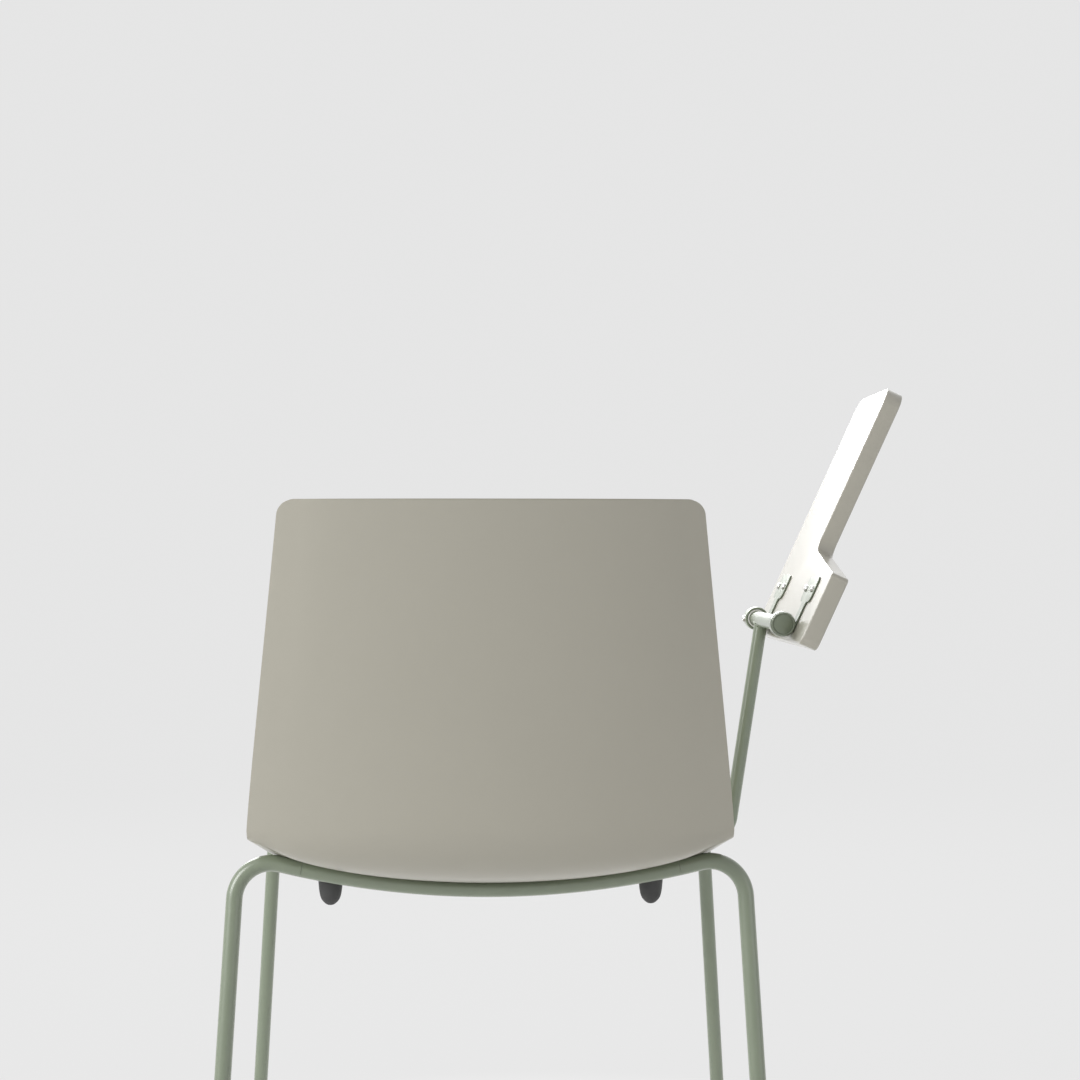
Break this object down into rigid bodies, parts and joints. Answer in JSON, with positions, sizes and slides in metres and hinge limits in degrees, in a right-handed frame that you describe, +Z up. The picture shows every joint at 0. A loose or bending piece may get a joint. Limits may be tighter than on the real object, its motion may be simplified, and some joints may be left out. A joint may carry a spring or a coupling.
{
  "type": "nesting chair",
  "caption": "Stackable shell chair on a bent-tube leg frame, with a fold-up writing tablet on the sitter's right.",
  "frame": {"origin": "middle of the chair's bounding box, on the floor, with the tablet folded", "axes": "+X to the sitter's left, +Y to the chair's back, +Z up; the chair faces -Y"},
  "size_m": [0.7222, 0.5594, 0.9217],
  "materials": {
    "frame_paint": "satin sage green powder coat",
    "shell_plastic": "fine matt moulded greige polypropylene",
    "tablet_plastic": "fine matt greige",
    "bumper_rubber": "matt dark grey rubber",
    "glide_plastic": "matt dark grey plastic",
    "screw_steel": "zinc-plated steel",
    "bush_plastic": "smooth white bearing plastic"
  },
  "bodies": {
    "chair": {"left_rear_leg": "frame_paint", "right_rear_leg": "frame_paint", "rear_crossbar": "frame_paint", "left_front_leg": "frame_paint", "right_front_leg": "frame_paint", "front_crossbar": "frame_paint", "left_seat_bar": "frame_paint", "right_seat_bar": "frame_paint", "tablet_post": "frame_paint", "hinge_axle": "frame_paint", "seat_shell": "shell_plastic", "bumper_left_rear": "bumper_rubber", "bumper_left_front": "bumper_rubber", "bumper_right_rear": "bumper_rubber", "bumper_right_front": "bumper_rubber", "glide_left_rear": "glide_plastic", "glide_left_front": "glide_plastic", "glide_right_rear": "glide_plastic", "glide_right_front": "glide_plastic", "shell_screw_left_rear": "screw_steel", "shell_screw_left_front": "screw_steel", "shell_screw_right_rear": "screw_steel", "shell_screw_right_front": "screw_steel"},
    "tablet": {"tablet_board": "tablet_plastic", "bracket_rear": "frame_paint", "bracket_front": "frame_paint", "bush_rear": "bush_plastic", "bush_front": "bush_plastic", "cap_rear": "frame_paint", "cap_front": "frame_paint", "pad_screw_rear_1": "screw_steel", "pad_screw_rear_2": "screw_steel", "pad_screw_front_1": "screw_steel", "pad_screw_front_2": "screw_steel", "hinge_stop_screw": "screw_steel"}
  },
  "joints": [
    {"name": "tablet_fold", "type": "hinge", "parent": "chair", "child": "tablet", "pos_m": [-0.21861, 0.04535, 0.6785], "axis": [0, 1, 0], "range_deg": [0, 114.8]}
  ]
}
